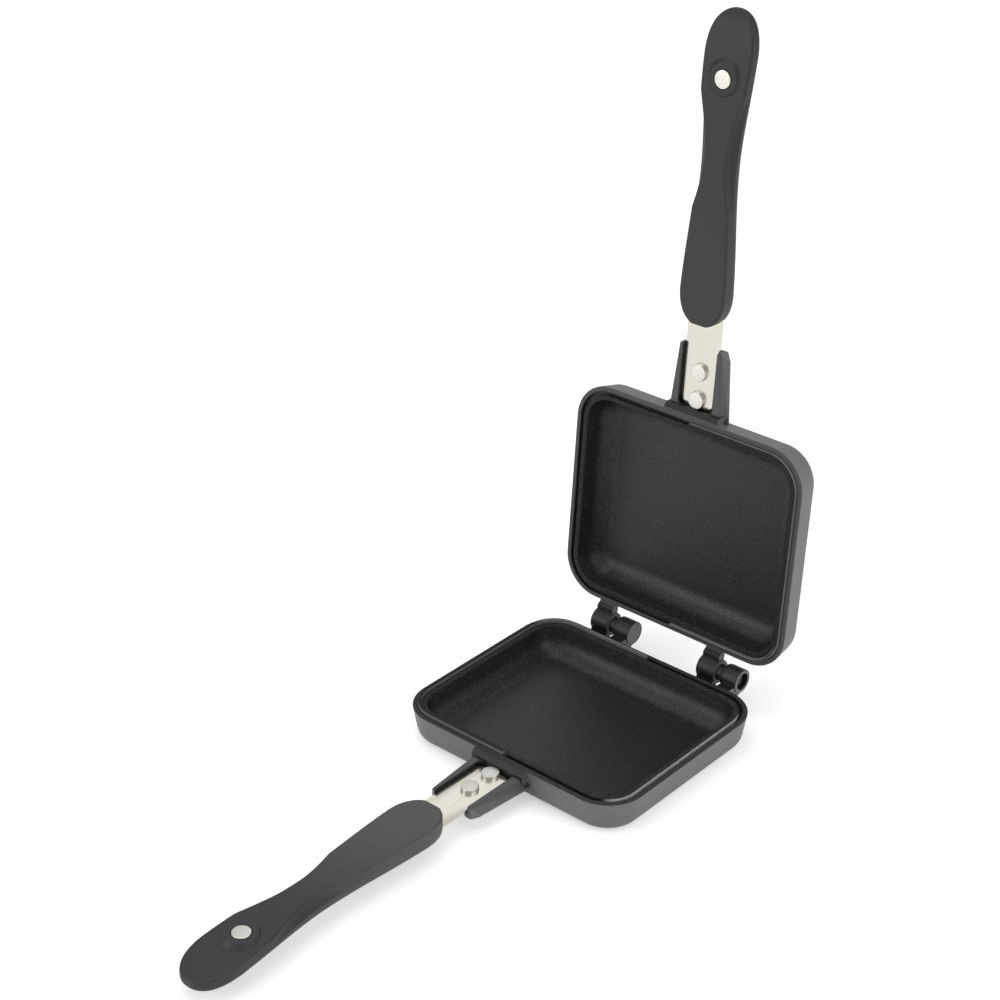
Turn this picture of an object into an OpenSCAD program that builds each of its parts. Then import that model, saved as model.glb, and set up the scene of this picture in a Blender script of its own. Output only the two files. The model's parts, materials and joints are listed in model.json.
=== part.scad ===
// Hinged pie iron for the hob: two cast pans, each with a riveted strap handle and a moulded grip.
// Millimetres. The origin is the middle of the lower pan's underside, +X runs along the hinge,
// +Y points to the hinge and +Z up. It is drawn standing open, as it rests on its stops.

/* [Pans] */
// Width of a pan over its rim, along the hinge
pan_w = 136; // [120:1:160]
// Length of a pan over its rim, front to back
pan_l = 116; // [105:1:140]
// Depth of a pan from the mating plane to its underside
pan_depth = 18; // [16:0.5:24]
// Radius of the rim's corners
corner_r = 20; // [18:0.5:28]
// Angle by which the walls lean outwards
draft = 9.5; // [5:0.5:12]
// Radius between the outer wall and the underside
base_edge_r = 7; // [3:0.5:8]
// Width of the flat rim
rim_w = 7; // [6:0.25:9]
// Thickness of the pan's floor
floor_t = 3; // [2:0.25:4]
// Radius between the inner wall and the floor
floor_fillet_r = 10; // [4:0.5:10]
// Radius of the rim's two edges
rim_edge_r = 0.6; // [0.2:0.1:0.8]
// Gap between the two rims when the iron is shut
closing_gap = 0.3; // [0.2:0.05:0.6]

/* [Tongue and groove] */
// Distance from the rim's outer edge to the tongue
tongue_inset = 2.8; // [2.3:0.1:3]
// Width of the tongue
tongue_w = 1.5; // [1.3:0.1:2.4]
// Height of the tongue above the rim
tongue_h = 2; // [0.8:0.1:2.2]
// Clearance round the tongue in its groove
groove_gap = 0.35; // [0.3:0.05:0.5]
// Chamfer on the tongue's two top edges
tongue_chamfer = 0.4; // [0.2:0.1:0.6]
// Distance from the middle of the pan to the tongue's ends
tongue_end = 1.2; // [0.5:0.1:3]

/* [Hinge] */
// Distance from the pans' back edge to the hinge axis
hinge_reach = 10.5; // [10:0.25:13]
// Angle between the open rest and the shut iron
open_angle = 95; // [91:1:105]
// Radius of the hinge barrels
barrel_r = 6.2; // [5.5:0.1:6.8]
// Radius of the cast pins
pin_r = 4.3; // [3:0.1:4.6]
// Radial clearance of a pin in its socket
pin_gap = 0.08; // [0.05:0.01:0.1]
// Left end of the left-hand joint, from the middle of the pan
left_joint_x = -44.5; // [-50:0.5:-40]
// Left end of the right-hand joint, from the middle of the pan
right_joint_x = 23; // [16:0.5:26]
// Length of the upper pan's barrel, which carries the pin
pin_barrel_len = 10.8; // [9:0.1:13]
// Bare length of pin between the two barrels
barrel_gap = 2.8; // [1:0.1:4]
// Length of the lower pan's barrel, which is the socket
socket_len = 10.6; // [9:0.1:13]
// Distance from a pin's end to the socket's far end
pin_recess = 3; // [2.5:0.1:4]
// Thickness of the wall that closes the left-hand socket
socket_end_t = 1.6; // [1:0.1:2]
// Thickness of the web from the upper rim to its barrel
web_t = 3; // [2:0.25:4]
// Depth of the upper barrels' webs below the mating plane
web_drop = 1.8; // [1:0.1:2.2]
// Extra thickness of that web where it meets the pan
web_foot = 1.4; // [0.5:0.1:2]

/* [Open stop] */
// Distance from the pan's back edge to the back of the stop ledge
ledge_reach = 4.5; // [4:0.1:4.7]
// Depth of the ledge's top below the mating plane
ledge_drop = 3.6; // [3.4:0.1:4.5]
// Depth of the ledge's lower edge below the mating plane
ledge_bottom = 11; // [10:0.5:13]
// Thickness of the tail that rests against the ledge
tail_t = 3.6; // [3:0.1:4.5]
// Gap between tail and ledge when the iron stands open
stop_gap = 0.1; // [0.05:0.05:0.3]

/* [Handle bracket] */
// Half width of the bracket at the pan
bracket_root_w = 17; // [15:0.5:20]
// Half width of the bracket at its tips
bracket_tip_w = 14; // [13:0.5:16]
// Reach of the prongs in front of the pan
bracket_len = 34.5; // [33:0.5:40]
// Distance by which the prongs' outer corners lie behind their tips
bracket_slant = 3.5; // [1:0.5:5]
// Distance by which a prong's outer face leans in from its foot to its top
prong_lean = 1.6; // [0:0.1:2]
// Depth of the prongs' top below the mating plane
prong_drop = 4; // [3:0.25:5]
// Radius of the prongs' long edges
prong_edge_r = 1.2; // [0.6:0.1:1.6]
// Distance from the pan's front edge to the end of the strap's pocket
pocket_start = 2.8; // [2:0.1:3.2]
// Radius of the pocket's inner corners
pocket_corner_r = 2.8; // [1:0.1:3]
// Clearance at each side of the strap in its pocket
pocket_gap = 0.3; // [0.1:0.05:0.5]
// Thickness of the bracket's floor under the strap
bracket_floor_t = 3.5; // [2.5:0.25:4]

/* [Strap] */
// Width of the strap between pan and grip
strap_w = 19.5; // [16:0.5:20]
// Thickness of the strap
strap_t = 1.6; // [1.4:0.1:2.5]
// Depth of the strap's top below the mating plane
strap_drop = 5.8; // [5.5:0.1:7]
// Distance from the pan's front edge to the strap's end
strap_start = 3.6; // [3.3:0.1:4]
// Radius of the strap's end corners
strap_corner_r = 4.5; // [1:0.5:6]
// Width of the strap inside the grip
tang_w = 10; // [8:0.5:12]
// Length over which the strap narrows inside the grip
tang_taper_len = 26; // [20:1:40]

/* [Strap rivets] */
// Distance from the pan's front edge to the rear rivet
rivet_start = 7.2; // [7:0.1:9]
// Distance between the two rivets
rivet_pitch = 14.3; // [11:0.1:16]
// Radius of a strap rivet's head
rivet_head_r = 4.3; // [4:0.1:5]
// Height of a strap rivet's head
rivet_head_h = 2.1; // [1.2:0.1:2.3]
// Radius of a strap rivet's shank
rivet_shank_r = 2.4; // [2:0.1:2.6]
// Height of the closed end under the bracket
rivet_tail_h = 1.2; // [0.8:0.1:1.6]
// Radial clearance of every rivet's shank
rivet_gap = 0.05; // [0.02:0.01:0.1]

/* [Grip] */
// Distance from the pan's front edge to the grip
grip_start = 46; // [42:1:60]
// Length of the grip
grip_len = 150; // [130:1:180]
// Depth of the grip's flat face below the mating plane
grip_face_drop = 0.5; // [0.4:0.1:2]
// Thickness of the grip
grip_t = 12; // [11.5:0.5:15]
// Half width of the grip at its broad parts
grip_w = 13.6; // [12.5:0.1:15]
// Depth of the shoulder, where the side is widest, below the flat face
shoulder_drop = 4; // [3:0.25:6]
// Distance from the grip's start to the middle of its waist
waist_at = 76; // [68:1:90]
// Depth of the waist in the body, each side
waist_cut = 3.7; // [1:0.1:4.5]
// Length of the waist on the pan's side
waist_len_pan = 42; // [30:1:50]
// Length of the waist on the tip's side
waist_len_tip = 34; // [25:1:45]
// Distance from the grip's start to the middle of the thumb scoops
scoop_at = 84; // [75:1:95]
// Length of the scoops along the flat face's two edges
scoop_len = 52; // [30:1:60]
// Depth of a scoop, measured across the flat face
scoop_cut = 3.4; // [1:0.1:4]
// Distance that the tip's face falls away from the mating plane
tip_fall = 5; // [3:0.1:8]
// Distance from the grip's tip to where its face starts to fall
tip_fall_len = 66; // [50:1:80]
// Distance that the tip's back falls
tip_back_fall = 0.6; // [0:0.1:3]
// Length of the tip's rounding in plan
tip_round_len = 22; // [16:1:30]
// Length of the rounding in plan where the grip starts
start_round_len = 18; // [8:1:24]
// Clearance all round the strap in its slot
slot_gap = 0.15; // [0.1:0.05:0.3]

/* [Grip rivet] */
// Distance from the grip's tip to its rivet
grip_rivet_at = 31.5; // [30:0.5:40]
// Radius of the grip rivet's head
grip_head_r = 4.65; // [4:0.05:5]
// Height of the grip rivet's head
grip_head_h = 1.2; // [0.9:0.1:1.5]
// Radius of the grip rivet's shank
grip_shank_r = 2.6; // [2:0.1:2.8]
// Radius of the round boss at its foot
boss_foot_r = 9; // [8:0.25:9.5]
// Radius of the boss at its top
boss_top_r = 6.8; // [6:0.1:7.5]
// Depth of the rivet head's top below the mating plane
grip_head_drop = 0.4; // [0.3:0.05:0.8]
// Height by which the head stands above its boss
grip_head_proud = 0.5; // [0.2:0.1:0.8]
// Clearance round the rivet's head in its recess
head_recess_gap = 0.35; // [0.2:0.05:0.5]

/* [Hidden] */
$fn = 64;

cast_colour = "#3a3a3d";
grip_colour = "#2b2b2c";
strap_colour = "#c9c8c2";
rivet_colour = "#d8d6cf";

// A pan, in its own frame: the mating plane is z = 0 and the pan lies below it
lean = tan(draft);
rim_z = -closing_gap / 2;
core_x = pan_w / 2 - corner_r;
core_y = pan_l / 2 - corner_r;
inner_r = corner_r - rim_w;
floor_z = floor_t - pan_depth;
fillet_room = (inner_r + floor_z * lean - 0.2) / (1 / cos(draft) - lean);
fillet_r = min(floor_fillet_r, fillet_room, -floor_z - 2);
front_y = -pan_l / 2;
back_y = pan_l / 2;

// Hinge
hinge_y = back_y + hinge_reach;
left_socket_x = left_joint_x + pin_barrel_len + barrel_gap;
right_socket_x = right_joint_x + pin_barrel_len + barrel_gap;
pin_len = barrel_gap + socket_len - pin_recess;
joint_w = pin_barrel_len + barrel_gap + socket_len;
ledge_y = back_y + ledge_reach;
// How far brackets, lugs and webs reach into the pan's wall
root_in = 3;
socket_round_r = 2.4;
barrel_edge_r = 0.4;
// Webs and lugs stop a little inside the rounded ends of their barrels
end_clear = 0.15;
web_inset = barrel_edge_r + end_clear;
lug_inset = socket_round_r + end_clear;
lug_bottom = 2 - ledge_bottom;
web_top = web_t - web_drop;
web_start_z = -rim_z + 0.1;
ledge_chamfer = 0.6;
ledge_foot = 1.5;

// Handle
strap_z = -strap_drop;
bracket_z = strap_z - strap_t - bracket_floor_t;
pocket_w = strap_w / 2 + pocket_gap;
rivet_y = [front_y - rivet_start, front_y - rivet_start - rivet_pitch];
grip_y = front_y - grip_start;
tip_y = grip_y - grip_len;
waist_y = grip_y - waist_at;
scoop_y = grip_y - scoop_at;
grip_rivet_y = tip_y + grip_rivet_at;
tang_end_y = grip_rivet_y - tang_w;
tang_from_y = grip_y - 3;
tang_to_y = tang_from_y - tang_taper_len;

function arc(cx, cy, r, from, to, steps) =
    [for (i = [0 : steps]) let (a = from + (to - from) * i / steps) [cx + r * cos(a), cy + r * sin(a)]];

// ---- cast pans ----

// Section through floor, wall and rim. x is the distance from the corner's centre.
module wall_section() {
    base_cz = base_edge_r - pan_depth;
    edge_cz = rim_z - rim_edge_r;
    fillet_cz = floor_z + fillet_r;
    polygon(concat(
        [[0, -pan_depth]],
        arc(corner_r + base_cz * lean - base_edge_r / cos(draft), base_cz, base_edge_r, -90, -draft, 9),
        arc(corner_r + edge_cz * lean - rim_edge_r / cos(draft), edge_cz, rim_edge_r, -draft, 90, 4),
        arc(inner_r + edge_cz * lean + rim_edge_r / cos(draft), edge_cz, rim_edge_r, 90, 180 - draft, 4),
        arc(inner_r + fillet_cz * lean - fillet_r / cos(draft), fillet_cz, fillet_r, -draft, -90, 9),
        [[0, floor_z]]
    ));
}

// Section of the tongue, and of the groove when it is grown by the clearance
module tongue_section(grow, low, high, chamfer) {
    outer = corner_r - tongue_inset + grow;
    inner = corner_r - tongue_inset - tongue_w - grow;
    polygon([[inner, low], [outer, low], [outer, high - chamfer], [outer - chamfer, high],
        [inner + chamfer, high], [inner, high - chamfer]]);
}

// Carries a section round the right-hand half of the rim, from x = from in front to the same behind
module right_run(from) {
    for (side = [0, 1]) mirror([0, side, 0]) {
        translate([core_x, core_y, 0]) rotate_extrude(angle = 90) children();
        translate([core_x, core_y, 0]) rotate([90, 0, 0]) linear_extrude(core_y) children();
        translate([from, core_y, 0]) rotate([90, 0, 90]) linear_extrude(core_x - from) children();
    }
}

module bowl() {
    for (half = [0, 1]) mirror([half, 0, 0]) right_run(0) wall_section();
    translate([-core_x, -core_y, -pan_depth]) cube([2 * core_x, 2 * core_y, floor_t]);
}

// One bar of the bracket: a rounded bar with a slanted tip
module prong() {
    r = prong_edge_r;
    root_y = front_y + root_in;
    hull() for (top = [0, 1]) {
        z = top == 1 ? -prong_drop - r : bracket_z + r;
        out = -r - top * prong_lean;
        translate([pocket_w - r, root_y, z]) sphere(r, $fn = 16);
        translate([bracket_root_w + out, root_y, z]) sphere(r, $fn = 16);
        translate([bracket_tip_w + out, front_y - bracket_len + bracket_slant + r, z]) sphere(r, $fn = 16);
        translate([pocket_w + r, front_y - bracket_len + r, z]) sphere(r, $fn = 16);
        translate([pocket_w - r, front_y - bracket_len + r, z]) sphere(r, $fn = 16);
    }
}

// The block that ties both prongs to the wall, seen from the side
module bracket_root() {
    face_y = front_y - pocket_start;
    bevel = pocket_start - 0.6;
    translate([-bracket_root_w + prong_edge_r, 0, 0]) rotate([90, 0, 90])
        linear_extrude(2 * (bracket_root_w - prong_edge_r)) polygon([
            [front_y + root_in, bracket_z], [face_y, bracket_z], [face_y, rim_z - rim_edge_r - bevel],
            [face_y + bevel, rim_z - rim_edge_r], [front_y + root_in, rim_z - rim_edge_r]]);
}

// The room between the prongs, with round inner corners
module pocket() {
    r = pocket_corner_r;
    len = bracket_len + 1 - pocket_start;
    translate([0, front_y - bracket_len - 1, strap_z - strap_t]) {
        translate([-pocket_w, 0, 0]) cube([2 * pocket_w, len - r, pan_depth]);
        translate([r - pocket_w, 0, 0]) cube([2 * (pocket_w - r), len, pan_depth]);
        for (side = [-1, 1]) translate([side * (pocket_w - r), len - r, 0]) cylinder(r = r, h = pan_depth);
    }
}

module bracket() {
    difference() {
        union() {
            for (side = [0, 1]) mirror([side, 0, 0]) prong();
            bracket_root();
            translate([-pocket_w - 1, front_y - bracket_len + bracket_slant + 2, bracket_z])
                cube([2 * pocket_w + 2, bracket_len - bracket_slant - 2 + root_in, bracket_floor_t]);
        }
        pocket();
        for (y = rivet_y) translate([0, y, bracket_z - 1]) cylinder(r = rivet_shank_r + rivet_gap, h = pan_depth);
    }
}

// Bowl and bracket, which are the same on both pans
module pan_body() {
    bowl();
    bracket();
}

module tongue() {
    mirror([1, 0, 0]) right_run(tongue_end) tongue_section(0, rim_z - 1, rim_z + tongue_h, tongue_chamfer);
}

// What the other pan's tongue enters, along the right-hand half
module groove() {
    right_run(groove_gap - tongue_end)
        tongue_section(groove_gap, rim_z + 1, rim_z - tongue_h - groove_gap, 0);
}

// A round bar along +X from the origin, with rounded ends
module bar(len, r, start_r, end_r) {
    rotate([90, 0, 90]) rotate_extrude() polygon(concat(
        [[0, 0]], arc(r - start_r, start_r, start_r, -90, 0, 6), arc(r - end_r, len - end_r, end_r, 0, 90, 6),
        [[0, len]]));
}

// Socket of the lower pan: barrel and lug, with the joint's left end at x = 0
module socket(from_x) {
    translate([from_x, hinge_y, 0]) bar(socket_len, barrel_r, socket_round_r, barrel_edge_r);
    translate([from_x + lug_inset, 0, 0]) rotate([90, 0, 90])
        linear_extrude(socket_len - lug_inset - web_inset) polygon([
            [back_y - root_in, lug_bottom], [back_y - root_in, rim_z - rim_edge_r],
            [hinge_y, rim_z - rim_edge_r], [hinge_y, -barrel_r], [ledge_y, lug_bottom]]);
}

// The ledge behind the wall on which the upper pan's tails come to rest
module ledge(from_x) {
    translate([from_x, 0, 0]) rotate([90, 0, 90]) linear_extrude(joint_w) polygon([
        [back_y - root_in - 1, -ledge_bottom], [back_y - root_in, -ledge_drop],
        [ledge_y - ledge_chamfer, -ledge_drop], [ledge_y, -ledge_drop - ledge_chamfer],
        [ledge_y, ledge_foot - ledge_bottom], [ledge_y - ledge_foot, -ledge_bottom]]);
}

// Barrel of the upper pan with its pin, web and tail, in the frame of the shut iron
module pin_barrel(from_x) {
    translate([from_x, hinge_y, 0]) {
        bar(pin_barrel_len, barrel_r, barrel_edge_r, barrel_edge_r);
        bar(pin_barrel_len + pin_len, pin_r, barrel_edge_r, barrel_edge_r);
    }
    translate([from_x + web_inset, 0, 0]) rotate([90, 0, 90])
        linear_extrude(pin_barrel_len - 2 * web_inset) polygon([
            [back_y - root_in - 2, web_start_z], [back_y + 0.4, web_start_z], [back_y + 2, -web_drop],
            [hinge_y, -web_drop], [hinge_y, web_top + web_foot / 2], [back_y, web_top + web_foot * 1.5],
            [back_y - root_in - 2, web_top + web_foot * 1.5]]);
    translate([from_x + web_inset, hinge_y, 0]) rotate([open_angle, 0, 0])
        translate([0, ledge_y + stop_gap - hinge_y, -ledge_bottom])
            cube([pin_barrel_len - 2 * web_inset, tail_t, ledge_bottom - barrel_r / 2]);
}

// ---- handle parts, in a pan's own frame ----

// Plan of the strap, which narrows inside the grip
module strap_plan(grow) {
    r = strap_corner_r;
    half = strap_w / 2 + grow;
    tang = tang_w / 2 + grow;
    start_y = front_y - strap_start;
    polygon(concat(
        arc(half - r, start_y - r, r, 0, 90, 6),
        arc(r - half, start_y - r, r, 90, 180, 6),
        [[-half, tang_from_y], [-tang, tang_to_y]],
        arc(0, tang_end_y + tang_w / 2, tang, 180, 360, 12),
        [[tang, tang_to_y], [half, tang_from_y]]
    ));
}

module strap() {
    color(strap_colour) difference() {
        translate([0, 0, strap_z - strap_t]) linear_extrude(strap_t) strap_plan(0);
        for (y = rivet_y)
            translate([0, y, strap_z - strap_t - 1]) cylinder(r = rivet_shank_r + rivet_gap, h = strap_t + 2);
        translate([0, grip_rivet_y, strap_z - strap_t - 1])
            cylinder(r = grip_shank_r + rivet_gap, h = strap_t + 2);
    }
}

// A rivet along -Z from its seat at z = 0: domed head, shank and closed end
module rivet(head_r, head_h, shank_r, grip_h, tail_r, tail_h) {
    dome = head_h * 0.35;
    edge = head_h * 0.3;
    color(rivet_colour) rotate_extrude() polygon(concat(
        [[0, -grip_h - tail_h]],
        arc(tail_r - tail_h / 2, -grip_h - tail_h / 2, tail_h / 2, -90, 0, 4),
        [[tail_r, -grip_h], [shank_r, -grip_h], [shank_r, 0], [head_r, 0]],
        arc(head_r - edge, head_h - dome - edge, edge, 0, 70, 4),
        [[head_r * 0.5, head_h - dome * 0.25], [0, head_h]]
    ));
}

module strap_rivet(number) {
    translate([0, rivet_y[number], strap_z])
        rivet(rivet_head_r, rivet_head_h, rivet_shank_r, strap_t + bracket_floor_t, rivet_shank_r + 1.4, rivet_tail_h);
}

// ---- grip: rings of points across the handle, joined by triangles ----

function bump(d, len) = exp(-(d / len) * (d / len));
function waist(y) = waist_cut * bump(y - waist_y, y > waist_y ? waist_len_pan : waist_len_tip);
function scoop(y) = scoop_cut * max(0, 1 - pow(2 * (y - scoop_y) / scoop_len, 2));
function fall(y) = let (s = max(0, tip_fall_len - (y - tip_y)) / tip_fall_len) s * s;
function face_z(y) = -grip_face_drop - tip_fall * fall(y);
function back_z(y) = -grip_face_drop - grip_t - tip_back_fall * fall(y);
// Share of the full width left at a distance from an end that is rounded over a length
function rounding(d, len, power) = let (u = 1 - min(1, d / len)) pow(1 - pow(u, power), 1 / power);

// Share of the width and of the thickness at y, from both rounded ends
function plan_share(y) = rounding(grip_y - y, start_round_len, 2.2) * rounding(y - tip_y, tip_round_len, 2.2);
function side_share(y) = rounding(grip_y - y, 5, 2.2) * rounding(y - tip_y, 9, 2);

// How square the underside is: squarer at the pan's end, rounder towards the tip
function squareness(y) = 2.1 + 1.3 * bump(y - grip_y, 55);

// Half of one ring, from the flat face round the side to the middle of the back
function half_ring(y) =
    let (
        top = face_z(y), back = back_z(y), shoulder = top - shoulder_drop,
        full = grip_w - waist(y), flat = full - scoop(y),
        n = 2 / squareness(y), edge = 1.2
    ) concat(
        [[flat - edge, top], [flat - edge * 0.3, top - edge * 0.3], [flat, top - edge]],
        [[(flat + full) / 2 - 0.15 * (full - flat), (top - edge + shoulder) / 2]],
        [for (a = [0 : 15 : 75]) [full * pow(cos(a), n), shoulder - (shoulder - back) * pow(sin(a), n)]],
        [[0, back]]
    );

// A whole ring, drawn in towards its middle where the ends are rounded
function ring(y) =
    let (
        half = half_ring(y), last = len(half) - 1, mid = (face_z(y) + back_z(y)) / 2 + 0.5,
        px = max(0.2, plan_share(y)), pz = max(0.2, side_share(y)),
        left = [for (i = [last - 1 : -1 : 0]) [-half[i][0], half[i][1]]]
    ) [for (p = concat(half, left)) [p[0] * px, y, mid + (p[1] - mid) * pz]];

end_steps = [0.05, 0.4, 1.1, 2.2, 3.6, 5.5];
grip_stations = concat(
    [for (d = end_steps) grip_y - d],
    [for (d = [8 : 5.5 : grip_len - 16]) grip_y - d],
    [for (i = [5 : -1 : 0]) tip_y + end_steps[i] * 2.2]
);

// Joins rings of equal length into one closed surface
module loft(rings) {
    n = len(rings[0]);
    m = len(rings);
    polyhedron(
        points = [for (one = rings) each one],
        faces = concat(
            [[for (j = [n - 1 : -1 : 0]) j]],
            [[for (j = [0 : n - 1]) (m - 1) * n + j]],
            [for (i = [0 : m - 2], j = [0 : n - 1]) [i * n + j, (i + 1) * n + (j + 1) % n, (i + 1) * n + j]],
            [for (i = [0 : m - 2], j = [0 : n - 1]) [i * n + j, i * n + (j + 1) % n, (i + 1) * n + (j + 1) % n]]
        ),
        convexity = 6
    );
}

// Levels of the grip rivet: the head's seat in the boss and the closed end's seat in the back
head_seat_z = -grip_head_drop - grip_head_h;
boss_z = -grip_head_drop - grip_head_proud;
boss_low = face_z(grip_rivet_y - boss_foot_r) - 0.3;
boss_slope = (boss_foot_r - boss_top_r) / (boss_z - face_z(grip_rivet_y));
tail_seat_z = back_z(grip_rivet_y) + 2;
grip_tail_r = grip_shank_r + 1.4;

module grip() {
    color(grip_colour) difference() {
        union() {
            loft([for (y = grip_stations) ring(y)]);
            translate([0, grip_rivet_y, boss_low]) cylinder(
                r1 = boss_top_r + boss_slope * (boss_z - boss_low), r2 = boss_top_r, h = boss_z - boss_low);
        }
        translate([0, 0, strap_z - strap_t - slot_gap]) linear_extrude(strap_t + 2 * slot_gap)
            strap_plan(slot_gap);
        translate([0, grip_rivet_y, -pan_depth * 2])
            cylinder(r = grip_shank_r + rivet_gap, h = pan_depth * 3);
        translate([0, grip_rivet_y, head_seat_z]) cylinder(r = grip_head_r + head_recess_gap, h = pan_depth);
        translate([0, grip_rivet_y, tail_seat_z - pan_depth])
            cylinder(r = grip_tail_r + head_recess_gap, h = pan_depth);
    }
}

module grip_rivet() {
    translate([0, grip_rivet_y, head_seat_z])
        rivet(grip_head_r, grip_head_h, grip_shank_r, head_seat_z - tail_seat_z, grip_tail_r, 1.2);
}

// ---- placing the two halves ----

// The lower pan's frame, lifted so that its underside is the base
module as_lower() {
    translate([0, 0, pan_depth]) children();
}

// The shut upper half's frame, swung open about the hinge
module as_swung() {
    translate([0, hinge_y, pan_depth]) rotate([-open_angle, 0, 0]) translate([0, -hinge_y, 0]) children();
}

// The upper pan's own frame: turned over, shut, then swung open
module as_upper() {
    as_swung() rotate([0, 180, 0]) children();
}

// ---- the pieces ----

module lower_pan() {
    color(cast_colour) as_lower() {
        difference() {
            union() {
                pan_body();
                for (x = [left_joint_x, right_joint_x]) ledge(x);
                for (x = [left_socket_x, right_socket_x]) socket(x);
            }
            groove();
            translate([left_socket_x - 1, hinge_y, 0]) rotate([0, 90, 0])
                cylinder(r = pin_r + pin_gap, h = socket_len - socket_end_t + 1);
            translate([right_socket_x - 1, hinge_y, 0]) rotate([0, 90, 0])
                cylinder(r = pin_r + pin_gap, h = socket_len + 2);
        }
        tongue();
    }
}

module upper_pan() {
    color(cast_colour) {
        difference() {
            union() {
                as_upper() pan_body();
                as_swung() for (x = [left_joint_x, right_joint_x]) pin_barrel(x);
            }
            as_upper() groove();
        }
        as_upper() tongue();
    }
}

module lower_strap() { as_lower() strap(); }
module upper_strap() { as_upper() strap(); }
module lower_grip() { as_lower() grip(); }
module upper_grip() { as_upper() grip(); }
module lower_strap_rivet_rear() { as_lower() strap_rivet(0); }
module lower_strap_rivet_front() { as_lower() strap_rivet(1); }
module upper_strap_rivet_rear() { as_upper() strap_rivet(0); }
module upper_strap_rivet_front() { as_upper() strap_rivet(1); }
module lower_grip_rivet() { as_lower() grip_rivet(); }
module upper_grip_rivet() { as_upper() grip_rivet(); }

lower_pan();
upper_pan();
lower_strap();
upper_strap();
lower_grip();
upper_grip();
lower_strap_rivet_rear();
lower_strap_rivet_front();
upper_strap_rivet_rear();
upper_strap_rivet_front();
lower_grip_rivet();
upper_grip_rivet();
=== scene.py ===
import json
import math

import bpy
import numpy as np
from mathutils import Matrix, Vector


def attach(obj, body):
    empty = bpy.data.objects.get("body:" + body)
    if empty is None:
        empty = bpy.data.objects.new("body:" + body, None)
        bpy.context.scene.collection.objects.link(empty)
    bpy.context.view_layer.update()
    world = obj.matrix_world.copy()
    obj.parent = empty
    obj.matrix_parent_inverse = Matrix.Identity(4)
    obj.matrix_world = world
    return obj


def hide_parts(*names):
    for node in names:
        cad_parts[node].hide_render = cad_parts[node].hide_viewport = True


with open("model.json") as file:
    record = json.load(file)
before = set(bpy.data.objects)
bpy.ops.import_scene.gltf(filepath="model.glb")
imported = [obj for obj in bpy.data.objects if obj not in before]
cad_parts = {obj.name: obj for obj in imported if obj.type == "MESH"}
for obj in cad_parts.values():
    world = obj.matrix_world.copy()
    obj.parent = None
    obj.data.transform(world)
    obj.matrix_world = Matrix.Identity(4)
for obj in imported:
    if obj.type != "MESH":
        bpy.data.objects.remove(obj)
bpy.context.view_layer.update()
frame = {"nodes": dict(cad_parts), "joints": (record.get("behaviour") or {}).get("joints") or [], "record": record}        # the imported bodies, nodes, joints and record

scene = bpy.context.scene
mm = 0.001

# The hinge gives both pans' places: the lower pan stands on its underside, the upper one is swung open
hinge = frame["joints"][0]
panDepth = hinge["pos_m"][2]
openAngle = math.radians(hinge["range_deg"][1])


def panMatrix(half):  # from a pan's own frame, mating plane at z = 0 and pan below it, to the model's
    if half == "lower":
        return Matrix.Translation((0, 0, panDepth))
    axis = Vector((0, hinge["pos_m"][1], 0))
    swing = (Matrix.Translation(axis + Vector((0, 0, panDepth))) @ Matrix.Rotation(-openAngle, 4, "X")
             @ Matrix.Translation(-axis))
    return swing @ Matrix.Rotation(math.pi, 4, "Y")


# Shader maths: a Wire is one output of a node, and arithmetic on it adds nodes to the same tree
class Wire:
    def __init__(self, tree, socket):
        self.tree, self.socket = tree, socket

    def node(self, kind, settings=None, inputs=None, output=0):
        return addNode(self.tree, kind, settings, inputs, output)

    def maths(self, operation, *operands):
        return self.node("Math", {"operation": operation}, dict(enumerate(operands)))

    def __add__(self, other): return self.maths("ADD", self, other)
    def __radd__(self, other): return self.maths("ADD", other, self)
    def __sub__(self, other): return self.maths("SUBTRACT", self, other)
    def __rsub__(self, other): return self.maths("SUBTRACT", other, self)
    def __mul__(self, other): return self.maths("MULTIPLY", self, other)
    def __rmul__(self, other): return self.maths("MULTIPLY", other, self)
    def __abs__(self): return self.maths("ABSOLUTE", self)

    def larger(self, other): return self.maths("MAXIMUM", self, other)
    def smaller(self, other): return self.maths("MINIMUM", self, other)
    def root(self): return self.maths("SQRT", self)

    def step(self, low, high, start=0.0, end=1.0):  # start below low, end above high, smooth between
        return self.node("MapRange", {"interpolation_type": "SMOOTHSTEP"},
                         {"Value": self, "From Min": low, "From Max": high, "To Min": start, "To Max": end})

    def above(self, level, soft):  # 0 up to level, rising to 1 over soft
        return self.step(level, level + soft)

    def below(self, level, soft):  # 1 up to level, falling to 0 over soft
        return self.step(level, level + soft, 1.0, 0.0)

    def band(self, low, high, soft):  # 1 between low and high, fading to 0 over soft on both sides
        return self.above(low - soft, soft) * self.below(high, soft)

    def mix(self, first, second):  # this wire is the share of the second colour
        return self.node("Mix", {"data_type": "RGBA"}, {"Factor": self, 6: first, 7: second}, 2)


def addNode(tree, kind, settings=None, inputs=None, output=0):
    made = tree.nodes.new("ShaderNode" + kind)
    for name, value in (settings or {}).items():
        setattr(made, name, value)
    for name, value in (inputs or {}).items():
        if isinstance(value, Wire):
            tree.links.new(value.socket, made.inputs[name])
        else:
            made.inputs[name].default_value = value
    return Wire(tree, made.outputs[output]) if made.outputs else None


def newMaterial(name):
    made = bpy.data.materials.new(name)
    made.use_nodes = True
    made.node_tree.nodes.clear()
    return made, made.node_tree


def finishMaterial(tree, inputs):
    surface = addNode(tree, "BsdfPrincipled", None, inputs)
    addNode(tree, "OutputMaterial", None, {"Surface": surface})


def grey(value, warm=0.0, violet=0.0):  # a linear grey, with red over blue by warm, and less green by violet
    return (value * (1 + warm), value * (1 - violet), value * (1 - warm), 1)


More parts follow.
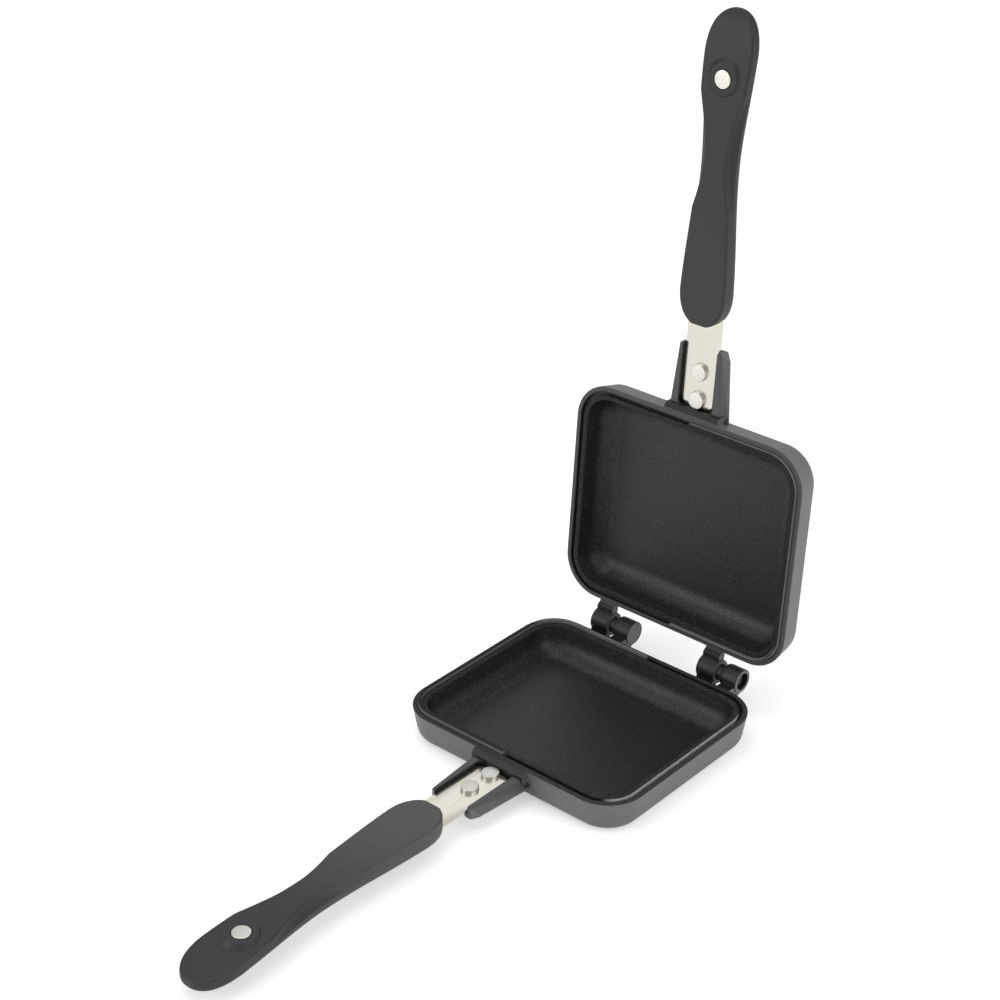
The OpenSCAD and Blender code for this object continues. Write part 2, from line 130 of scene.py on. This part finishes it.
def ownFrame(tree, half, output="Object"):  # object coordinates, or normals, turned into a pan's own frame
    back = panMatrix(half).inverted()
    kind = "NORMAL" if output == "Normal" else "POINT"
    inputs = {"Rotation": back.to_euler("XYZ")}
    if kind == "POINT":
        inputs["Location"] = back.translation
    inputs["Vector"] = addNode(tree, "TexCoord", output=output)
    return addNode(tree, "Mapping", {"vector_type": kind}, inputs)


def splitVector(wire):
    parts = wire.node("SeparateXYZ", None, {"Vector": wire})
    return [Wire(wire.tree, out) for out in parts.socket.node.outputs]


def noise(wire, scale, detail=3.0, rough=0.55):  # about 0.5 on average
    return wire.node("TexNoise", None, {"Vector": wire, "Scale": scale, "Detail": detail, "Roughness": rough})


def bump(height, depth, strength=1.0, under=None):
    inputs = {"Height": height, "Distance": depth, "Strength": strength}
    if under is not None:
        inputs["Normal"] = under
    return height.node("Bump", None, inputs)


# Camera, lamps, surroundings and floor
view = dict(
    eye=(0.56839, -0.70080, 0.62763), azimuth=41.4676, elevation=28.819, roll=-0.247,
    lens=80.586, sensor=36, clipEnd=20,
)


def makeCamera():
    data = bpy.data.cameras.new("camera")
    data.sensor_width = view["sensor"]
    data.lens = view["lens"]
    data.clip_end = view["clipEnd"]
    camera = bpy.data.objects.new("camera", data)
    turn = (Matrix.Rotation(math.radians(view["azimuth"]), 4, "Z")
            @ Matrix.Rotation(math.radians(90 - view["elevation"]), 4, "X")
            @ Matrix.Rotation(math.radians(view["roll"]), 4, "Z"))
    camera.matrix_world = Matrix.Translation(view["eye"]) @ turn
    scene.collection.objects.link(camera)
    scene.camera = camera


studio = dict(
    surround=0.50,  # what the room gives to matt surfaces
    mirrored=0.52,  # how bright the room is in glossy surfaces; the camera sees it white
    floorHalf=6.0,
    floorColour=0.86,
    floorGlow=0.45,  # only the camera sees it, so that the floor reads white
    floorMirrored=0.32,  # the same, as reflections see it
    lamps=[  # name, place, aim, size, power
        ("right softbox", (1.5, 0.1, 0.9), (0, 0, 0.08), (1.2, 1.2), 8),
        ("overhead softbox", (-0.2, -0.1, 1.7), (0, 0, 0.05), (1.6, 1.2), 7.5),
        ("rear softbox", (-1.6, 1.75, 1.75), (0, 0, 0.0), (1.0, 1.0), 2.1),
        ("front softbox", (-0.9, -1.6, 0.8), (0, 0, 0.1), (1.0, 1.0), 9),
    ])


def makeLights():
    for name, place, aim, size, power in studio["lamps"]:
        data = bpy.data.lights.new(name, "AREA")
        data.shape = "RECTANGLE"
        data.size, data.size_y = size
        data.energy = power
        lamp = bpy.data.objects.new(name, data)
        lamp.location = place
        lamp.rotation_euler = (Vector(aim) - Vector(place)).to_track_quat("-Z", "Y").to_euler()
        scene.collection.objects.link(lamp)


def rayIs(tree, *kinds):  # 1 for rays of these kinds
    path = addNode(tree, "LightPath")
    found = Wire(tree, path.socket.node.outputs[f"Is {kinds[0]} Ray"])
    for kind in kinds[1:]:
        found = found.larger(Wire(tree, path.socket.node.outputs[f"Is {kind} Ray"]))
    return found


def makeWorld():
    world = bpy.data.worlds.new("studio")
    world.use_nodes = True
    tree = world.node_tree
    tree.nodes.clear()
    plain, mirrored, white = [
        addNode(tree, "Background", None, {"Color": (1, 1, 1, 1), "Strength": strength})
        for strength in (studio["surround"], studio["mirrored"], 1.0)]
    seen = rayIs(tree, "Glossy", "Transmission")
    bright = addNode(tree, "MixShader", None, {0: seen, 1: plain, 2: mirrored})
    both = addNode(tree, "MixShader", None, {0: rayIs(tree, "Camera"), 1: bright, 2: white})
    addNode(tree, "OutputWorld", None, {"Surface": both})
    scene.world = world


def makeFloor():
    edge = studio["floorHalf"]
    mesh = bpy.data.meshes.new("floor")
    corners = [(-edge, -edge, 0), (edge, -edge, 0), (edge, edge, 0), (-edge, edge, 0)]
    mesh.from_pydata(corners, [], [(0, 1, 2, 3)])
    floor = bpy.data.objects.new("floor", mesh)
    scene.collection.objects.link(floor)
    made, tree = newMaterial("pale floor")
    matt = addNode(tree, "BsdfDiffuse", None, {"Color": grey(studio["floorColour"])})
    strength = rayIs(tree, "Camera") * studio["floorGlow"] + rayIs(tree, "Glossy") * studio["floorMirrored"]
    glow = addNode(tree, "Emission", None, {"Strength": strength})
    lit = addNode(tree, "AddShader", None, {0: matt, 1: glow})
    both = addNode(tree, "MixShader", None, {0: rayIs(tree, "Camera", "Glossy"), 1: matt, 2: lit})
    addNode(tree, "OutputMaterial", None, {"Surface": both})
    mesh.materials.append(made)


makeCamera()
makeLights()
makeWorld()
makeFloor()
print("camera, lamps and floor are ready")

# Castings: dark non-stick coating in the dish and on all that faces the other pan, grey paint elsewhere
casting = dict(
    coreX=0.048, coreY=0.038, cornerRadius=0.020,  # the rim's outline is this core, grown by the radius
    paint=grey(0.165, 0.02, 0.02), paintDark=grey(0.140, 0.0, 0.045),
    # the olive specks are partly the coating's own speckle and partly painted glints of its sheen
    coat=grey(0.0060, 0.03), speckGlint=(0.115, 0.112, 0.084, 1), speckGlintShare=0.07, dishSpeckGlints=0.27,
    # the pale grey of the worn tongue edges and of the rubbed groove wall also holds a painted highlight
    wornEdgeHighlight=grey(0.17, 0.02), edgeHighlightShare=0.9, wearAndHighlight=grey(0.85, 0.02),
    thinned=dict(lower=0.12, upper=0.50),  # how much of the paint shows through at the rim's outer band
    prongShare=0.45,  # how much of it shows on the prongs' tops
    rough=0.46, cloudRough=0.12, rimDull=0.36,
    softEdge=0.00045,
    cloudScale=55.0, speckGlintScale=1400.0, wearHighlightScale=240.0,
    grainScale=1500.0, grainDepth=0.00011, grainStrength=0.85,
    groundScale=420.0, groundDepth=0.00012, groundStrength=0.35,
)

# Where a casting's finishes end, in metres of the pan's own frame or as a share of a unit normal. The last
# number of each is the width of its soft edge. Rim places are distances to the rim's outline, minus inside
finishEdges = dict(
    dish=(-0.0047, 0.0003), underside=(-0.0158, 0.0004),
    groove=(-0.0048, -0.0023, 0.0001), grooveDepth=(-0.0035, -0.0002, 0.0002),
    pocketHalf=(0.0102, 0.0002), pocketEnd=(-0.0605, 0.0003), pocketDepth=(-0.0085, 0.0005),
    rootHalf=(0.0155, 0.0005), rootDepth=(-0.0090, 0.0010), root=(-0.0612, -0.0578, 0.0002),
    hinge=(0.0600, 0.0005), barrelEnd=(0.55, 0.30),
    prongFoot=(-0.0605, 0.0010), prongInside=(0.0102, 0.0004),
    facing=(0.10, 0.32),
    outerBand=(-0.0023, 0.0004, 0.0004), outerDepth=(-0.0012, 0.0006),
    tongueOuter=(-0.0032, -0.0028, 0.0001), tongueInner=(-0.0043, -0.0039, 0.0001),
    tongueTop=(0.0009, 0.0003), tongueSide=(-0.0005, 0.0005), hingeSide=(0.040, 0.006),
    grooveWall=(-0.0050, -0.0045, 0.0001), wallDepth=(-0.0006, 0.0004), wallFacing=(0.45, 0.35),
    rim=(-0.0076, 0.0004, 0.0003), rimDepth=(-0.0010, 0.0006),
    speckGlints=(0.52, 0.14),
)


def rimDistance(x, y):  # to the rim's outline: the distance to the core's box, less the corner radius
    overX, overY = abs(x) - casting["coreX"], abs(y) - casting["coreY"]
    outside = (overX.larger(0) * overX.larger(0) + overY.larger(0) * overY.larger(0)).root()
    return outside + overX.larger(overY).smaller(0) - casting["cornerRadius"]


def castMaterial(half):
    made, tree = newMaterial(half + " casting")
    own = ownFrame(tree, half)
    x, y, z = splitVector(own)
    normalX, _, normalZ = splitVector(ownFrame(tree, half, "Normal"))
    distance = rimDistance(x, y)
    edges = finishEdges
    # the coated places
    dish = distance.below(*edges["dish"]) * z.above(*edges["underside"])
    inGroove = distance.band(*edges["groove"]) * z.band(*edges["grooveDepth"])
    inPocket = (abs(x).below(*edges["pocketHalf"]) * y.below(*edges["pocketEnd"])
                * z.above(*edges["pocketDepth"]))
    onRoot = abs(x).below(*edges["rootHalf"]) * z.above(*edges["rootDepth"]) * y.band(*edges["root"])
    onHinge = y.above(*edges["hinge"]) * abs(normalX).below(*edges["barrelEnd"])
    onProng = y.below(*edges["prongFoot"]) * casting["prongShare"] * abs(x).above(*edges["prongInside"])
    facing = normalZ.above(*edges["facing"]) * (1.0 - onProng)
    dark = dish.larger(facing).larger(inGroove).larger(inPocket).larger(onRoot).larger(onHinge)
    # the coating thins out over the outermost band of the rim
    outerBand = distance.band(*edges["outerBand"]) * z.above(*edges["outerDepth"])
    dark = dark * (1.0 - outerBand * casting["thinned"][half])

    cloud = noise(own, casting["cloudScale"], 4.0)
    # olive specks, partly the coating's own speckle and partly painted glints of its sheen, denser in the
    # dish
    speckGlints = noise(own, casting["speckGlintScale"], 1.0).above(*edges["speckGlints"])
    speckledGlints = speckGlints * (dish * casting["dishSpeckGlints"] + casting["speckGlintShare"])
    coat = speckledGlints.mix(casting["coat"], casting["speckGlint"])
    # along the hinge side the tongue's two long edges are paler grey: edge wear, with a painted highlight
    # where the light catches the raised edges
    onEdge = distance.band(*edges["tongueOuter"]).larger(distance.band(*edges["tongueInner"]))
    onEdge = (onEdge * z.above(*edges["tongueTop"]) * x.below(*edges["tongueSide"])
              * y.above(*edges["hingeSide"]))
    coat = (onEdge * casting["edgeHighlightShare"]).mix(coat, casting["wornEdgeHighlight"])
    colour = dark.mix(cloud.mix(casting["paintDark"], casting["paint"]), coat)
    # the groove's inner wall on the right is pale: rubbed where the other pan's tongue slides in, and
    # brightened further as a painted highlight of the light falling on that side
    rubbedAndLit = (distance.band(*edges["grooveWall"]) * z.below(*edges["wallDepth"])
              * normalX.above(*edges["wallFacing"]))
    patchy = noise(own, casting["wearHighlightScale"], 3.0).step(0.30, 0.5, 0.75, 1.0)
    colour = (rubbedAndLit * patchy).mix(colour, casting["wearAndHighlight"])
    # the coating is duller on the rim's top, where the two pans rub
    onRim = distance.band(*edges["rim"]) * z.above(*edges["rimDepth"])
    rough = (cloud - 0.5) * casting["cloudRough"] + onRim * casting["rimDull"] + casting["rough"]
    rounded = own.node("Bevel", {"samples": 4}, {"Radius": casting["softEdge"]})
    ground = bump(noise(own, casting["groundScale"], 3.0), casting["groundDepth"],
                  casting["groundStrength"], rounded)
    grain = bump(noise(own, casting["grainScale"], 2.0), casting["grainDepth"],
                 casting["grainStrength"], ground)
    finishMaterial(tree, {"Base Color": colour, "Roughness": rough, "Normal": grain})
    return made


# Grips: matt moulded plastic with a fine spark-eroded grain
gripFinish = dict(
    # the paler colour at the pan end is painted sheen, strongest on the lower grip, whose face looks up into
    # the light
    mouldedTone=grey(0.014), toneAndSheen=dict(lower=grey(0.078), upper=grey(0.026)),
    sheenFrom=-0.210, sheenTo=-0.115, sheenShare=0.7, cloudShare=0.3, cloudScale=38.0,
    rough=0.50, cloudRough=0.14, grainScale=1900.0, grainDepth=0.00005, grainStrength=0.45,
)


def gripMaterial(half):
    made, tree = newMaterial(half + " grip plastic")
    own = ownFrame(tree, half)
    y = splitVector(own)[1]
    cloud = noise(own, gripFinish["cloudScale"], 3.0)
    # painted sheen: the end by the pan is paler, standing in for the light's sheen on the flat face, with a
    # random cloud of tone over the whole grip
    toneAndSheen = cloud * gripFinish["cloudShare"] + y.step(
        gripFinish["sheenFrom"], gripFinish["sheenTo"], 0.0, gripFinish["sheenShare"])
    grain = noise(own, gripFinish["grainScale"], 2.0)
    finishMaterial(tree, {"Base Color": toneAndSheen.mix(gripFinish["mouldedTone"], gripFinish["toneAndSheen"][half]),
                          "Roughness": (cloud - 0.5) * gripFinish["cloudRough"] + gripFinish["rough"],
                          "Normal": bump(grain, gripFinish["grainDepth"], gripFinish["grainStrength"])})
    return made


# Straps: polished strip steel with faint lengthwise rolling marks
strapFinish = dict(
    pale=(0.71, 0.69, 0.62, 1), dull=(0.66, 0.64, 0.56, 1), cloudScale=90.0,
    markScale=2600.0, markStretch=0.02, markDepth=0.00001, markStrength=0.12,  # stretched along the strap
    roughLow=0.12, roughHigh=0.26,
)


def strapMaterial(half):
    made, tree = newMaterial(half + " strip steel")
    own = ownFrame(tree, half)
    stretch = {"Vector": own, "Scale": (1.0, strapFinish["markStretch"], 1.0)}
    marks = noise(own.node("Mapping", {"vector_type": "POINT"}, stretch), strapFinish["markScale"], 3.0)
    cloud = noise(own, strapFinish["cloudScale"], 3.0)
    rough = marks.step(0.35, 0.7, strapFinish["roughLow"], strapFinish["roughHigh"])
    finishMaterial(tree, {"Base Color": cloud.mix(strapFinish["dull"], strapFinish["pale"]),
                          "Metallic": 1.0,
                          "Roughness": rough,
                          "Normal": bump(marks, strapFinish["markDepth"], strapFinish["markStrength"])})
    return made


# Rivets: aluminium, frosted by the forming tool
rivetFinish = dict(
    pale=(0.80, 0.785, 0.73, 1), dull=(0.70, 0.69, 0.64, 1),
    roughLow=0.30, roughHigh=0.46, frostScale=1500.0, frostDepth=0.00005, frostStrength=0.5,
)


def rivetMaterial(half):
    made, tree = newMaterial(half + " rivet aluminium")
    frost = noise(ownFrame(tree, half), rivetFinish["frostScale"], 3.0)
    rough = frost.step(0.3, 0.7, rivetFinish["roughLow"], rivetFinish["roughHigh"])
    finishMaterial(tree, {"Base Color": frost.mix(rivetFinish["dull"], rivetFinish["pale"]),
                          "Metallic": 1.0,
                          "Roughness": rough,
                          "Normal": bump(frost, rivetFinish["frostDepth"], rivetFinish["frostStrength"])})
    return made


makers = {"cast": castMaterial, "grip": gripMaterial, "strap": strapMaterial, "rivet": rivetMaterial}
looks = {(slot, half): make(half) for slot, make in makers.items() for half in ("lower", "upper")}
slots = {part["node"]: part["material_slot"] for part in frame["record"]["subparts"]}
for name, node in frame["nodes"].items():
    node.data.materials.clear()
    node.data.materials.append(looks[slots[name], name.split("_")[0]])
print("materials are on the CAD nodes")


# Grid surfaces: rows of points, each row a closed ring, joined by quads, with a face over either end
def ringFaces(rows, columns, first=0):
    row, column = np.meshgrid(np.arange(rows - 1), np.arange(columns), indexing="ij")
    here = first + row * columns + column
    beside = first + row * columns + (column + 1) % columns
    quads = np.stack([here, beside, beside + columns, here + columns], -1).reshape(-1, 4).tolist()
    start = list(range(first + columns - 1, first - 1, -1))
    end = list(range(first + (rows - 1) * columns, first + rows * columns))
    return quads + [start, end]


def ringObject(name, rings, half):
    place = np.array(panMatrix(half))
    placed = (rings.reshape(-1, 3) * mm) @ place[:3, :3].T + place[:3, 3]
    mesh = bpy.data.meshes.new(name)
    mesh.from_pydata(placed.tolist(), [], ringFaces(rings.shape[0], rings.shape[1]))
    made = bpy.data.objects.new(name, mesh)
    scene.collection.objects.link(made)
    return made


def combine(piece, operation, rings, half):
    tool = ringObject("tool", rings, half)
    modifier = piece.modifiers.new("combine", "BOOLEAN")
    modifier.operation = operation
    modifier.solver = "EXACT"
    modifier.object = tool
    bpy.context.view_layer.update()
    evaluated = piece.evaluated_get(bpy.context.evaluated_depsgraph_get())
    done = bpy.data.meshes.new_from_object(evaluated)
    piece.modifiers.clear()
    piece.data = done
    bpy.data.objects.remove(tool)


def addPiece(name, half, node, rings, sharp=32.0, changes=()):
    # rings are in a pan's own millimetres; each change is a Boolean with a second closed body
    piece = ringObject(name, rings, half)
    for operation, other in changes:
        combine(piece, operation, other, half)
    mesh = piece.data
    mesh.shade_smooth()
    mesh.set_sharp_from_angle(angle=math.radians(sharp))
    mesh.materials.clear()
    mesh.materials.append(looks[slots[node], half])
    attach(piece, half)
    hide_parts(node)
    return piece


def turned(profile, centre=(0.0, 0.0), count=72):
    # a profile of (radius, z) turned about an upright axis through centre, from the bottom up
    profile = np.asarray(profile, float)
    angle = np.linspace(0, 2 * np.pi, count, endpoint=False)
    radius, height = profile[:, :1], profile[:, 1:]
    x = centre[0] + radius * np.cos(angle)
    y = centre[1] + radius * np.sin(angle)
    return np.stack([x, y, height + 0 * x], -1)


def quarter(cx, cz, r, fromDegrees, toDegrees, count=7):  # points along an arc, as (x, z)
    angle = np.radians(np.linspace(fromDegrees, toDegrees, count))
    return np.stack([cx + r * np.cos(angle), cz + r * np.sin(angle)], -1)


# Grip: rings across the handle. Every ring is a flat face, a rounded edge, a thumb scoop and a
# superellipse round the back; both ends are drawn in by a rounding of their own
grip = dict(
    start=-104.0, length=149.88, faceDrop=0.5, thick=12.0, halfWidth=13.6, shoulderDrop=4.0,
    waistAt=76.0, waistCut=3.7, waistPan=42.0, waistTip=34.0,
    scoopAt=84.0, scoopLength=55.0, scoopCut=3.4, scoopPower=1.12, scoopHollow=0.14,
    tipFall=5.0, tipFallLength=66.0, tipBackFall=0.6,
    tipRound=22.0, tipPower=2.2, tipDeep=9.0,  # the tip's rounding in plan and in depth
    startRound=18.0, startPower=2.25, startDeep=0.8,  # the same where the grip starts
    backPower=2.1, backSquarer=1.3, backLength=55.0,  # the back is squarer near the pan
    edge=1.2, rings=190, endRings=26, endSpan=10.0,
)
gripRivet = dict(
    fromTip=31.38, headRadius=4.35, headHeight=1.2, shank=2.6, headDrop=0.4, tailHeight=1.2, tailInset=2.0)
boss = dict(foot=8.7, top=7.5, low=-3.4, drop=0.8, gap=0.35, lip=0.45, lipIn=0.25, dip=0.3, dipOut=0.35)
nearAxis = 0.05  # turned profiles start and end this close to their axis
tailOver = 1.4  # how far a rivet's closed end stands out over its shank


def bell(d, length):  # a hump, 1 at d = 0 and 1 / e at length
    return np.exp(-(d / length) ** 2)


def endRounding(d, length, power):  # share of the size left at a distance from a rounded end
    u = 1 - np.minimum(1, d / length)
    return (1 - u ** power) ** (1 / power)


def gripFace(y):  # depth of the flat face, and of the back, at y
    tip = grip["start"] - grip["length"]
    fall = (np.maximum(0, grip["tipFallLength"] - (y - tip)) / grip["tipFallLength"]) ** 2
    face = -grip["faceDrop"] - grip["tipFall"] * fall
    return face, -grip["faceDrop"] - grip["thick"] - grip["tipBackFall"] * fall


def gripRings():
    tip = grip["start"] - grip["length"]
    # stations crowd towards both ends: a cubic in from each, even steps between
    near = grip["endSpan"] * np.linspace(0.03, 1, grip["endRings"]) ** 3
    middle = np.linspace(near[-1], grip["length"] - near[-1], grip["rings"] - 2 * grip["endRings"])[1:-1]
    y = (grip["start"] - np.concatenate([near, middle, grip["length"] - near[::-1]]))[:, None]
    waistY, scoopY = grip["start"] - grip["waistAt"], grip["start"] - grip["scoopAt"]
    waist = grip["waistCut"] * np.where(
        y > waistY, bell(y - waistY, grip["waistPan"]), bell(y - waistY, grip["waistTip"]))
    hollow = np.maximum(0, 1 - (2 * (y - scoopY) / grip["scoopLength"]) ** 2)
    scoop = grip["scoopCut"] * hollow ** grip["scoopPower"]
    face, back = gripFace(y)
    full = grip["halfWidth"] - waist
    flat = full - scoop
    edge = grip["edge"]
    shoulder = face - grip["shoulderDrop"]
    # half a ring, from the middle of the face round to the middle of the back
    across = np.linspace(0, 1, 8)[None, :-1]
    partFace = (across * (flat - edge), face + 0 * across)
    turn = np.radians(np.linspace(90, 0, 7))[None, :]
    partEdge = (flat - edge + edge * np.cos(turn), face - edge + edge * np.sin(turn))
    down = np.linspace(0, 1, 9)[None, 1:-1]
    bow = grip["scoopHollow"] * 4 * down * (1 - down)
    partScoop = (flat + (full - flat) * (down - bow), face - edge + (shoulder - face + edge) * down)
    sweep = np.radians(np.linspace(0, 90, 27))[None, :-1]
    power = 2 / (grip["backPower"] + grip["backSquarer"] * bell(y - grip["start"], grip["backLength"]))
    partBack = (full * np.cos(sweep) ** power, shoulder - (shoulder - back) * np.sin(sweep) ** power)
    parts = [partFace, partEdge, partScoop, partBack, (0 * y, back)]
    x = np.concatenate([p[0] + 0 * y for p in parts], 1)
    z = np.concatenate([p[1] + 0 * y for p in parts], 1)
    x = np.concatenate([x, -x[:, -2:0:-1]], 1)
    z = np.concatenate([z, z[:, -2:0:-1]], 1)
    wide = (endRounding(grip["start"] - y, grip["startRound"], grip["startPower"])
            * endRounding(y - tip, grip["tipRound"], grip["tipPower"]))
    deep = endRounding(grip["start"] - y, grip["startDeep"], 2.0) * endRounding(y - tip, grip["tipDeep"], 2.0)
    middleZ = (face + back) / 2 + 0.5
    return np.stack([x * wide, y + 0 * x, middleZ + (z - middleZ) * deep], -1)[::-1]


def gripRivetY():
    return grip["start"] - grip["length"] + gripRivet["fromTip"]


def bossRings():  # a low cone round the rivet's head, with a rounded lip and the head's recess
    hole = gripRivet["headRadius"] + boss["gap"]
    seat = -gripRivet["headDrop"] - gripRivet["headHeight"]
    face, _ = gripFace(gripRivetY())
    slope = (boss["foot"] - boss["top"]) / (-boss["drop"] - face)
    wideLow = boss["top"] + slope * (-boss["drop"] - boss["low"])
    foot = [[nearAxis, boss["low"]], [wideLow, boss["low"]]]
    lip = quarter(boss["top"] - boss["lipIn"], -boss["drop"] - boss["lip"], boss["lip"], 40, 90)
    dip = quarter(hole + boss["dipOut"], -boss["drop"] - boss["dip"], boss["dip"], 90, 170)
    return turned(np.concatenate([foot, lip, dip, [[hole, seat], [nearAxis, seat]]]), (0, gripRivetY()))


def recessRings():  # a plain cylinder for the rivet's closed end, from below the grip up to its seat
    _, back = gripFace(gripRivetY())
    hole = gripRivet["shank"] + tailOver + boss["gap"]
    low, high = back - 3 * gripRivet["tailInset"], back + gripRivet["tailInset"]
    return turned([[nearAxis, low], [hole, low], [hole, high], [nearAxis, high]], (0, gripRivetY()))


def makeGrip(half):
    addPiece(half + "_moulded_grip", half, half + "_grip", gripRings(), 28.0,
             [("UNION", bossRings()), ("DIFFERENCE", recessRings())])


for half in ("lower", "upper"):
    makeGrip(half)
print("grips are made")


# Strap: a plate whose plan narrows inside the grip, with its edges rolled over
strap = dict(
    halfWidth=9.75, thick=1.6, top=-5.8, start=-61.6, cornerRadius=4.5,
    tangFrom=-107.0, tangTo=-133.0, tangHalf=5.0, tangEnd=-232.5, rolled=0.3,
)


def strapPlan(inset):  # outline of the strap, drawn in by inset
    radius = strap["cornerRadius"] - inset
    half = strap["halfWidth"] - inset
    tang = strap["tangHalf"] - inset
    start = strap["start"] - strap["cornerRadius"]
    right = quarter(strap["halfWidth"] - strap["cornerRadius"], start, radius, 0, 90, 13)
    left = quarter(strap["cornerRadius"] - strap["halfWidth"], start, radius, 90, 180, 13)
    end = quarter(0, strap["tangEnd"] + strap["tangHalf"], tang, 180, 360, 25)
    return np.concatenate([right, left, [[-half, strap["tangFrom"]], [-tang, strap["tangTo"]]], end,
                           [[tang, strap["tangTo"]], [half, strap["tangFrom"]]]])


def strapRings():  # the plan at each height, drawn in along a quarter circle at the lower and upper edge
    rolled, low, high = strap["rolled"], strap["top"] - strap["thick"], strap["top"]
    edge = np.concatenate([quarter(-rolled, low + rolled, rolled, -90, 0, 5),
                           quarter(-rolled, high - rolled, rolled, 0, 90, 5)])
    outline = [strapPlan(-inset) for inset, z in edge]
    return np.stack([np.insert(plan, 2, z, axis=1) for plan, (_, z) in zip(outline, edge)])


# Rivets: a flat-topped head with a slight dome, shank, and the closed end on the other side
strapRivet = dict(places=(-65.2, -79.5), headRadius=4.3, headHeight=2.1, shank=2.4, grip=5.1, tailHeight=1.2)
rivetForm = dict(dome=0.14, edge=0.28, tailRound=0.6, bevel=0.1)


def rivetRings(y, seat, size):
    # a turned profile: rounded closed end, shank, head with a rounded edge, and a dome of 1 - r ^ 2
    shank, headRadius, headHeight = size["shank"], size["headRadius"], size["headHeight"]
    tail, tailRound = shank + tailOver, rivetForm["tailRound"]
    dome, edge, bevel = rivetForm["dome"] * headHeight, rivetForm["edge"], rivetForm["bevel"]
    low = seat - size["grip"]
    bottom = low - size["tailHeight"]
    crown = np.linspace(1, 0.01, 9)[1:]
    flatRadius = headRadius - edge
    rimZ = seat + headHeight - dome
    top = np.column_stack([flatRadius * crown, rimZ + dome * (1 - crown ** 2)])
    profile = np.concatenate([
        [[nearAxis, bottom]], quarter(tail - tailRound, bottom + tailRound, tailRound, -90, 0, 6),
        [[tail, low], [shank, low], [shank, seat], [headRadius - bevel, seat], [headRadius, seat + bevel]],
        quarter(flatRadius, rimZ - edge, edge, 0, 90, 8), top])
    return turned(profile, (0, y), 80)


for half in ("lower", "upper"):
    addPiece(half + "_strip", half, half + "_strap", strapRings(), 40.0)
    for place, y in zip(("rear", "front"), strapRivet["places"]):
        node = f"{half}_strap_rivet_{place}"
        addPiece(f"{half}_{place}_rivet", half, node, rivetRings(y, strap["top"], strapRivet), 30.0)
    seat = -gripRivet["headDrop"] - gripRivet["headHeight"]
    long = dict(gripRivet, grip=seat - gripFace(gripRivetY())[1] - gripRivet["tailInset"])
    addPiece(half + "_end_rivet", half, half + "_grip_rivet", rivetRings(gripRivetY(), seat, long), 30.0)
print("straps and rivets are made")

scene.view_settings.view_transform = "Standard"
